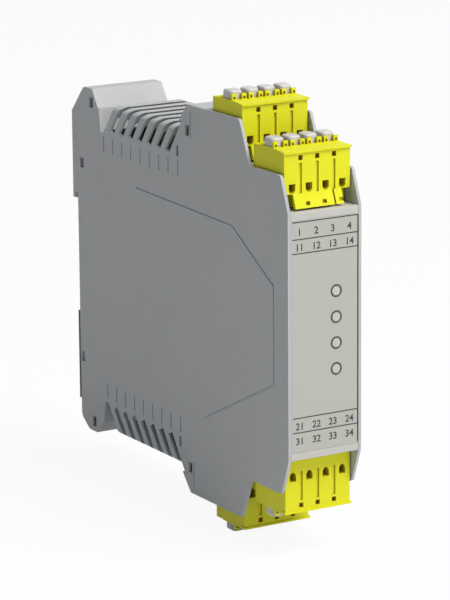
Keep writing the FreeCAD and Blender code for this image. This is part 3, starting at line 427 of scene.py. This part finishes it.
class RelayColours(bpy.types.PropertyGroup):
    """Colours of the module's finishes."""
    housing: colour_property("Housing", "Side cover and shell", (0.43, 0.446, 0.465))
    cap: colour_property("Front cap", "Frame round the label", (0.48, 0.48, 0.46))
    label: colour_property("Label", "Printed sheet on the front", (0.42, 0.425, 0.40))
    ink: colour_property("Ink", "Lines and numbers on the label", (0.06, 0.06, 0.065))
    plug: colour_property("Plugs", "Yellow plug bodies", (0.68, 0.68, 0.010))
    # Colour of the painted shade in the plugs' holes and grooves.
    hollow_shade: colour_property("Plug hollows", "Depths of the plugs' holes", (0.30, 0.085, 0.0))
    pad: colour_property("Pads", "Push pads on the plugs", (0.54, 0.53, 0.54))
    latch: colour_property("Latch", "Foot latch", (0.022, 0.022, 0.024))
    header: colour_property("Headers", "Pin housings behind the plugs", (0.02, 0.02, 0.02))
    pipe: colour_property("Light pipes", "Clear ends of the light pipes", (0.72, 0.73, 0.70))
    lamp: colour_property("Lamps", "Lamps on the indicator board", (0.85, 0.85, 0.75))
    board: colour_property("Boards", "Solder resist", (0.03, 0.16, 0.07))
    copper: colour_property("Tracks", "Tracks below the resist", (0.05, 0.22, 0.09))
    relay: colour_property("Relays", "Relay cases", (0.10, 0.11, 0.13))
    can: colour_property("Cans", "Capacitor cans", (0.60, 0.60, 0.62))
    chip: colour_property("Chips", "Controller chips", (0.03, 0.03, 0.03))
    steel: colour_property("Springs", "Spring strip and wire", (0.62, 0.62, 0.62))
    pin: colour_property("Pins", "Tinned header pins", (0.72, 0.68, 0.55))


class RelaySizes(bpy.types.PropertyGroup):
    """Fine shapes and the label's print."""
    edge: length_property("Edge", "Rounding of the housing's outer edges", 0.25 * MM)
    fine_edge: length_property("Fine edge", "Rounding of small moulded edges", 0.12 * MM)
    # Reach of the painted shade in the plugs' holes and grooves.
    hollow_shade: length_property("Hollows", "Width up to which a plug's holes look deep", 2.5 * MM)
    print_height: length_property("Print", "Thickness of the printed ink", 0.02 * MM)
    line_width: length_property("Lines", "Width of the label's lines", 0.30 * MM)
    number_height: length_property("Numbers", "Height of the terminal numbers", 1.85 * MM)
    ring_radius: length_property("Rings", "Radius of the rings round the lamps", 1.72 * MM)
    ring_width: length_property("Ring width", "Width of the rings' print", 0.34 * MM)
    ear_width: length_property("Ears", "Width of the ears at the pads' feet", 1.3 * MM)
    ear_depth: length_property("Ear depth", "Front to rear of an ear", 0.9 * MM)
    ear_height: length_property("Ear height", "Rise of an ear above the ledge", 1.0 * MM)
    ear_hole: length_property("Ear holes", "Square hole in an ear's front", 0.7 * MM)
    pad_round: length_property("Pad corners", "Upright corners of the push pads", 1.2 * MM)
    pad_dome: length_property("Pad ends", "Rounding of the pads' tops", 0.7 * MM)


class RelayStage(bpy.types.PropertyGroup):
    """Light and floor."""
    key: bpy.props.FloatProperty(name="Key", description="Strength of the main lamp",
                                 default=1.0, min=0.0, subtype="FACTOR", soft_max=4.0)
    fill: bpy.props.FloatProperty(name="Fill", description="Strength of the soft sky",
                                  default=0.18, min=0.0, subtype="FACTOR", soft_max=2.0)
    floor_size: length_property("Floor", "Width of the floor", 6.0)


# Pieces

class SideCoverPiece(bpy.types.Operator):
    """Round the side cover's outline"""
    bl_idname = "relay.side_cover"
    bl_label = "Side cover"

    def execute(self, context):
        colours, sizes = context.scene.relay_colours, context.scene.relay_sizes
        material = moulded_plastic("housing plastic", colours.housing,
                                   rough=0.55, texture=ERODED, relief=8e-6)
        piece = node_copy("side_cover", "cover_side")
        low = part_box("side_cover")[0].x
        bevel_edges(piece, sizes.edge,
                    lambda edge: both_at(edge, X, low) and depth(edge, X) > WALL / 2)
        smooth(piece)
        finish_piece(piece, "housing", "side_grey", material, "side_cover")
        return {"FINISHED"}


class ShellPiece(bpy.types.Operator):
    """Round the shell's louvres and its right-hand outline"""
    bl_idname = "relay.shell"
    bl_label = "Housing shell"

    def execute(self, context):
        sizes = context.scene.relay_sizes
        material = bpy.data.materials["housing plastic"]
        piece = node_copy("housing_shell", "shell_body")
        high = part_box("housing_shell")[1].x
        bevel_edges(piece, sizes.edge,
                    lambda edge: both_at(edge, X, high) and depth(edge, X) > WALL / 2)
        bevel_edges(piece, sizes.edge, lambda edge: run(edge, X) > RIB_RUN)
        smooth(piece)
        finish_piece(piece, "housing", "side_grey", material, "housing_shell")
        return {"FINISHED"}


class FrontPiece(bpy.types.Operator):
    """Round the front cap and colour its label sheet"""
    bl_idname = "relay.front"
    bl_label = "Front cap"

    def execute(self, context):
        colours, sizes = context.scene.relay_colours, context.scene.relay_sizes
        cap = node_copy("front_cap", "cap_front", joined=False)
        low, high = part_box("front_cap")

        def rim(edge):
            sides = ((X, low.x), (X, high.x), (Z, low.z), (Z, high.z))
            return both_at(edge, Y, low.y) and any(both_at(edge, *side) for side in sides)
        bevel_edges(cap, sizes.fine_edge, rim)
        smooth(cap)
        finish_piece(cap, "housing", "front_grey",
                     moulded_plastic("cap plastic", colours.cap, rough=0.5,
                                     texture=ERODED, relief=6e-6), "front_cap")
        label = node_copy("label_plate", "label_sheet", joined=False)
        activate(label)
        bpy.ops.transform.translate(value=(0, sizes.print_height, 0))
        settle(label)
        smooth(label)
        finish_piece(label, "housing", "label_grey",
                     moulded_plastic("label sheet", colours.label, rough=0.42,
                                     texture=SATIN, relief=2e-6, spread=0.01), "label_plate")
        return {"FINISHED"}


class PrintPiece(bpy.types.Operator):
    """Print the lines, the lamp rings and the terminal numbers on the label"""
    bl_idname = "relay.print"
    bl_label = "Label print"

    def execute(self, context):
        colours, sizes = context.scene.relay_colours, context.scene.relay_sizes
        ink = moulded_plastic("label ink", colours.ink, rough=0.5, texture=SATIN,
                              relief=1e-6)
        lines = [strip((PRINT_LEFT, PRINT_RIGHT), (z, z), sizes) for z in PRINT_LEVELS]
        lines.append(strip((PRINT_RIGHT, PRINT_RIGHT), (PRINT_BOTTOM, PRINT_TOP), sizes))
        piece = join(lines, "print_lines")
        finish_piece(piece, "housing", "label_grey", ink)
        rings = []
        for number in range(1, 5):
            low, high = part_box(f"light_pipe_{number}")
            rings.append(ring((low + high) / 2, sizes))
        piece = join(rings, "print_rings")
        finish_piece(piece, "housing", "label_grey", ink)
        words = []
        for z, names in NUMBER_ROWS:
            for x, name in zip(NUMBER_COLUMNS, names):
                words.append(word(name, x, z, sizes))
        piece = join(words, "print_numbers")
        finish_piece(piece, "housing", "label_grey", ink)
        return {"FINISHED"}


def join(pieces, name):
    """One named piece from several."""
    activate(*pieces)
    bpy.ops.object.join()
    piece = bpy.context.object
    piece.name = name
    settle(piece)
    return piece


def strip(across, up, sizes):
    """A printed line, level or upright."""
    low, high = spot(across[0], up[0]), spot(across[1], up[1])
    deselect()
    bpy.ops.mesh.primitive_plane_add(size=1, location=(low + high) / 2,
                                     rotation=(math.radians(90), 0, 0))
    piece = bpy.context.object
    width = sizes.line_width
    piece.scale = (max(width, high.x - low.x), max(width, high.z - low.z), 1)
    settle(piece)
    return thicken(piece, sizes)


def thicken(piece, sizes):
    """Give flat print its thickness, from the sunk sheet out to the module's front."""
    activate(piece)
    bpy.ops.object.mode_set(mode="EDIT")
    bpy.ops.mesh.select_all(action="SELECT")
    bpy.ops.mesh.normals_make_consistent(inside=False)
    bpy.ops.transform.translate(value=(0, sizes.print_height, 0))
    bpy.ops.mesh.extrude_region_move(
        TRANSFORM_OT_translate={"value": (0, -sizes.print_height, 0)})
    bpy.ops.mesh.select_all(action="SELECT")
    bpy.ops.mesh.normals_make_consistent(inside=False)
    bpy.ops.object.mode_set(mode="OBJECT")
    return piece


def ring(middle, sizes):
    """A printed ring round a light pipe's middle."""
    deselect()
    bpy.ops.mesh.primitive_circle_add(vertices=RING_STEPS, radius=sizes.ring_radius,
                                      fill_type="NGON",
                                      location=(middle.x, FACE_Y, middle.z),
                                      rotation=(math.radians(90), 0, 0))
    piece = bpy.context.object
    settle(piece)
    bpy.ops.object.mode_set(mode="EDIT")
    bpy.ops.mesh.select_all(action="SELECT")
    bpy.ops.mesh.inset(thickness=sizes.ring_width)
    bpy.ops.mesh.delete(type="FACE")
    bpy.ops.object.mode_set(mode="OBJECT")
    return thicken(piece, sizes)


def word(text, x, z, sizes):
    """A number as flat print, a little bolder than the plain face."""
    deselect()
    bpy.ops.object.text_add(location=spot(x, z), rotation=(math.radians(90), 0, 0))
    piece = bpy.context.object
    piece.data.body = text
    piece.data.size = sizes.number_height / CAPITAL_SHARE
    piece.data.offset = sizes.number_height * BOLDER
    piece.data.align_x = "CENTER"
    piece.data.align_y = "CENTER"
    piece.data.resolution_u = 4
    bpy.ops.object.convert(target="MESH")
    settle(piece)
    bpy.ops.object.mode_set(mode="EDIT")
    bpy.ops.mesh.select_all(action="SELECT")
    bpy.ops.mesh.remove_doubles(threshold=PRINT_MERGE)
    bpy.ops.object.mode_set(mode="OBJECT")
    return thicken(piece, sizes)


class PlugPieces(bpy.types.Operator):
    """Round the four plugs and give them ears and catches"""
    bl_idname = "relay.plugs"
    bl_label = "Plugs"

    def execute(self, context):
        colours, sizes = context.scene.relay_colours, context.scene.relay_sizes
        yellow = moulded_plastic("yellow nylon", colours.plug, rough=0.5, texture=2200,
                                 relief=5e-6, spread=0.015)
        # Painted shade darkens the plugs' holes and grooves.
        paint_hollow_shade(yellow, sizes.hollow_shade, colours.hollow_shade)
        for side in SIDES:
            piece = node_copy(f"plug_{side}", f"block_{side}")
            self.dress(piece, side, sizes)
            bevel_edges(piece, sizes.fine_edge, lambda edge: edge.calc_length() > WALL)
            clean_faces(piece)
            smooth(piece)
            finish_piece(piece, f"plug_{side}", "plug_yellow", yellow, f"plug_{side}")
        return {"FINISHED"}

    def dress(self, block, side, sizes):
        """Add the ears at the pads' feet, with their holes, and the catches in the flap."""
        low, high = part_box(f"plug_{side}")
        up = 1 if side.endswith("upper") else -1
        ledge = high.z if up > 0 else low.z
        z = ledge + up * sizes.ear_height / 2
        hole = sizes.ear_hole
        ears, holes = [], []
        for number in range(1, 5):
            pad_low, pad_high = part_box(f"pad_{side}_{number}")
            middle = (pad_low.x + pad_high.x) / 2
            y = pad_low.y - sizes.ear_depth / 2 - EAR_GAP
            for x in (middle - EAR_SPREAD, middle + EAR_SPREAD):
                ears.append(cuboid((x, y, z), (sizes.ear_width, sizes.ear_depth,
                                               2 * sizes.ear_height)))
                holes.append(cuboid((x, y - sizes.ear_depth / 2, z),
                                    (hole, sizes.ear_depth, hole)))
            if up > 0 and number >= FIRST_CATCH:
                corner = (middle, low.y, low.z)
                place = [a + b for a, b in zip(corner, CATCH_OFFSET)]
                holes.append(cuboid(place, CATCH))
        combine(block, join(ears, "ears"), "UNION")
        combine(block, join(holes, "holes"), "DIFFERENCE")


def combine(piece, tool, operation):
    """Join the tool to the piece or cut it out, and remove the tool."""
    activate(piece)
    bpy.ops.object.modifier_add(type="BOOLEAN")
    change = piece.modifiers[-1]
    change.operation = operation
    change.solver = "EXACT"
    change.object = tool
    bpy.ops.object.modifier_apply(modifier=change.name)
    bpy.data.objects.remove(tool)


def cuboid(place, sides):
    """A block round the place, of the given sides."""
    deselect()
    bpy.ops.mesh.primitive_cube_add(size=1, location=place)
    bpy.context.object.scale = sides
    return bpy.context.object


class PadPieces(bpy.types.Operator):
    """Colour the sixteen push pads"""
    bl_idname = "relay.pads"
    bl_label = "Push pads"

    def execute(self, context):
        colours, sizes = context.scene.relay_colours, context.scene.relay_sizes
        white = moulded_plastic("pad plastic", colours.pad, rough=0.4, texture=ERODED,
                                relief=4e-6)
        for side in SIDES:
            for number in range(1, 5):
                node = f"pad_{side}_{number}"
                piece = self.button(node, f"button_{side}_{number}", side, sizes)
                finish_piece(piece, node, "pad_white", white, node)
        return {"FINISHED"}

    def button(self, node, name, side, sizes):
        """A block with round corners and a domed end."""
        low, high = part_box(node)
        deselect()
        bpy.ops.mesh.primitive_cube_add(size=1, location=(low + high) / 2)
        piece = bpy.context.object
        piece.name = name
        piece.scale = high - low
        settle(piece)
        bevel_edges(piece, sizes.pad_round, lambda edge: run(edge, Z) > WALL, DOME_STEPS)
        end = high.z if side.endswith("upper") else low.z
        bevel_edges(piece, sizes.pad_dome, lambda edge: both_at(edge, Z, end), DOME_STEPS)
        smooth(piece)
        return piece


class LatchPiece(bpy.types.Operator):
    """Round the foot latch"""
    bl_idname = "relay.latch"
    bl_label = "Foot latch"

    def execute(self, context):
        colours, sizes = context.scene.relay_colours, context.scene.relay_sizes
        black = moulded_plastic("black plastic", colours.latch, rough=0.45, texture=ERODED,
                                relief=6e-6)
        piece = node_copy("foot_latch", "latch_foot")
        bevel_edges(piece, sizes.fine_edge, lambda edge: edge.calc_length() > WALL)
        smooth(piece)
        finish_piece(piece, "foot_latch", "black_plastic", black, "foot_latch")
        return {"FINISHED"}


class InnerFinishes(bpy.types.Operator):
    """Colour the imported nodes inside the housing"""
    bl_idname = "relay.inner"
    bl_label = "Inner parts"

    def execute(self, context):
        c = context.scene.relay_colours
        header = moulded_plastic("header plastic", c.header, rough=0.5, texture=ERODED,
                                 relief=5e-6)
        pipe = clear_resin("light pipe", c.pipe, rough=0.2, through=0.35)
        lamp = clear_resin("lamp resin", c.lamp, rough=0.1, through=0.3)
        board = circuit_board("circuit board", c.board, c.copper)
        steel = metal("spring steel", c.steel, rough=0.3)
        tin = metal("tinned pin", c.pin, rough=0.35)
        case = moulded_plastic("relay case", c.relay, rough=0.35, texture=1500, relief=4e-6)
        can = metal("can metal", c.can, rough=0.3)
        chip = moulded_plastic("chip case", c.chip, rough=0.5, texture=ERODED, relief=4e-6)
        chosen = {"main_board": board, "indicator_board": board, "indicator_lamps": lamp,
                  "capacitors": can, "controller_chips": chip, "latch_spring": steel}
        for number in range(1, 5):
            chosen[f"light_pipe_{number}"] = pipe
        for number in range(1, 4):
            chosen[f"relay_{number}"] = case
        for side in SIDES:
            chosen[f"header_{side}"] = header
            chosen[f"header_pins_{side}"] = tin
            chosen[f"clamp_springs_{side}"] = steel
        for node, material in chosen.items():
            item = frame["nodes"][node]
            item.data.materials.clear()
            item.data.materials.append(material)
        return {"FINISHED"}


# Stage

class StagePieces(bpy.types.Operator):
    """Lay the floor and set the lamps, the sky and the camera"""
    bl_idname = "relay.stage"
    bl_label = "Stage"

    def execute(self, context):
        stage = context.scene.relay_stage
        deselect()
        bpy.ops.mesh.primitive_plane_add(size=stage.floor_size,
                                         location=(0, 0, CAD_BOX[0].z - FLOOR_DROP))
        floor = bpy.context.object
        floor.name = "floor"
        settle(floor)
        floor.data.materials.append(backdrop_material("pale floor", (0.8, 0.8, 0.8), 1.0))
        sky(stage.fill)
        for name, place, size, power, colour in LAMPS:
            soft_box(name, place, size, power * stage.key, colour)
        camera(context)
        context.scene.view_settings.view_transform = "Standard"
        return {"FINISHED"}


def sky(strength):
    """Soft even light, which the camera and clear pieces see as plain white."""
    world = bpy.data.worlds.new("studio sky")
    bpy.context.scene.world = world
    world.use_nodes = True
    tree = world.node_tree
    soft = tree.nodes["Background"]
    soft.inputs["Color"].default_value = SKY_COLOUR
    soft.inputs["Strength"].default_value = strength
    white = tree.nodes.new("ShaderNodeBackground")
    white.inputs["Color"].default_value = WHITE
    white.inputs["Strength"].default_value = 1.0
    path = tree.nodes.new("ShaderNodeLightPath")
    seen = path.outputs["Is Camera Ray"]
    for ray in ("Is Glossy Ray", "Is Transmission Ray"):
        total = tree.nodes.new("ShaderNodeMath")
        total.operation = "MAXIMUM"
        tree.links.new(seen, total.inputs[0])
        tree.links.new(path.outputs[ray], total.inputs[1])
        seen = total.outputs["Value"]
    mix = tree.nodes.new("ShaderNodeMixShader")
    tree.links.new(seen, mix.inputs["Fac"])
    tree.links.new(soft.outputs["Background"], mix.inputs[1])
    tree.links.new(white.outputs["Background"], mix.inputs[2])
    tree.links.new(mix.outputs["Shader"], tree.nodes["World Output"].inputs["Surface"])


def soft_box(name, place, size, power, colour):
    """A square lamp that faces the module."""
    deselect()
    bpy.ops.object.light_add(type="AREA", location=place)
    light = bpy.context.object
    light.name = name
    light.data.size = size
    light.data.energy = power
    light.data.color = colour
    aim = Vector(AIM) - Vector(place)
    light.rotation_euler = aim.to_track_quat("-Z", "Y").to_euler()


def camera(context):
    """The photograph's view: long lens, from the front left and a little above."""
    turn, lift, roll = (math.radians(angle) for angle in CAMERA_ANGLES)
    bpy.ops.object.camera_add(location=CAMERA_PLACE)
    view = bpy.context.object
    view.name = "camera"
    back = Vector((math.sin(turn) * math.cos(lift), -math.cos(turn) * math.cos(lift),
                   math.sin(lift)))
    right = Vector((math.cos(turn), math.sin(turn), 0))
    up = back.cross(right)
    across = right * math.cos(roll) + up * math.sin(roll)
    upward = up * math.cos(roll) - right * math.sin(roll)
    view.rotation_euler = Matrix((across, upward, back)).transposed().to_euler()
    view.data.sensor_width = CAMERA_SENSOR
    view.data.lens = CAMERA_LENS
    view.data.clip_start = 0.05
    view.data.clip_end = 20
    context.scene.camera = view


class RelayPanel(bpy.types.Panel):
    """Lists the module's pieces, colours and sizes."""
    bl_idname = "VIEW3D_PT_relay"
    bl_label = "Relay Module"
    bl_space_type = "VIEW_3D"
    bl_region_type = "UI"
    bl_category = "Relay Module"

    def draw(self, context):
        for group in ("relay_colours", "relay_sizes", "relay_stage"):
            settings = getattr(context.scene, group)
            box = self.layout.box()
            for key in settings.__annotations__:
                box.prop(settings, key)
        for step in STEPS:
            self.layout.operator(step.bl_idname)


STEPS = (SideCoverPiece, ShellPiece, FrontPiece, PrintPiece, PlugPieces, PadPieces,
         LatchPiece, InnerFinishes, StagePieces)
GROUPS = {"relay_colours": RelayColours, "relay_sizes": RelaySizes, "relay_stage": RelayStage}


def register():
    for group in GROUPS.values():
        bpy.utils.register_class(group)
    for name, group in GROUPS.items():
        setattr(bpy.types.Scene, name, bpy.props.PointerProperty(type=group))
    for step in STEPS:
        bpy.utils.register_class(step)
    bpy.utils.register_class(RelayPanel)


def unregister():
    bpy.utils.unregister_class(RelayPanel)
    for step in reversed(STEPS):
        bpy.utils.unregister_class(step)
    for name in GROUPS:
        delattr(bpy.types.Scene, name)
    for group in reversed(list(GROUPS.values())):
        bpy.utils.unregister_class(group)


def main():
    register()
    bpy.ops.relay.side_cover()
    bpy.ops.relay.shell()
    bpy.ops.relay.front()
    bpy.ops.relay.print()
    bpy.ops.relay.plugs()
    bpy.ops.relay.pads()
    bpy.ops.relay.latch()
    bpy.ops.relay.inner()
    bpy.ops.relay.stage()


if __name__ == "__main__":
    main()
